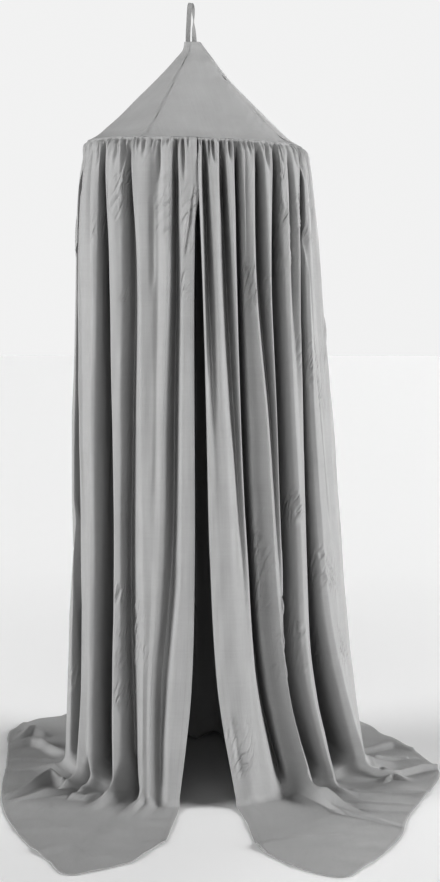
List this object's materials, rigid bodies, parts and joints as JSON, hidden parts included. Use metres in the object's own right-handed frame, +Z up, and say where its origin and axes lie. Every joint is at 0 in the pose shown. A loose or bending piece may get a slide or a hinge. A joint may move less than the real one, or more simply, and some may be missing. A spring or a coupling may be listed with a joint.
{
  "type": "mosquito net canopy with hoop",
  "caption": "Hanging bed canopy: tape loop, pointed four-gore crown, hoop in the seam, and a gathered floor-length skirt open at the front.",
  "frame": {"origin": "the point inside the top of the hanging loop where a hook bears", "axes": "+Z up along the hanging direction, -Y towards the front opening, +X to the right seen from the front"},
  "size_m": [1.175, 1.5075, 1.9924],
  "materials": {
    "canopy_cloth": "mid-grey plain-woven cotton with a soft sheen",
    "loop_tape": "mid-grey woven cotton tape",
    "hoop_wire": "plain pale hoop, hidden inside the seam"
  },
  "bodies": {
    "root": {"hanging_loop": "loop_tape", "crown_gore_1": "canopy_cloth", "crown_gore_2": "canopy_cloth", "crown_gore_3": "canopy_cloth", "crown_gore_4": "canopy_cloth", "hoop": "hoop_wire", "skirt_left": "canopy_cloth", "skirt_right": "canopy_cloth"}
  },
  "joints": []
}
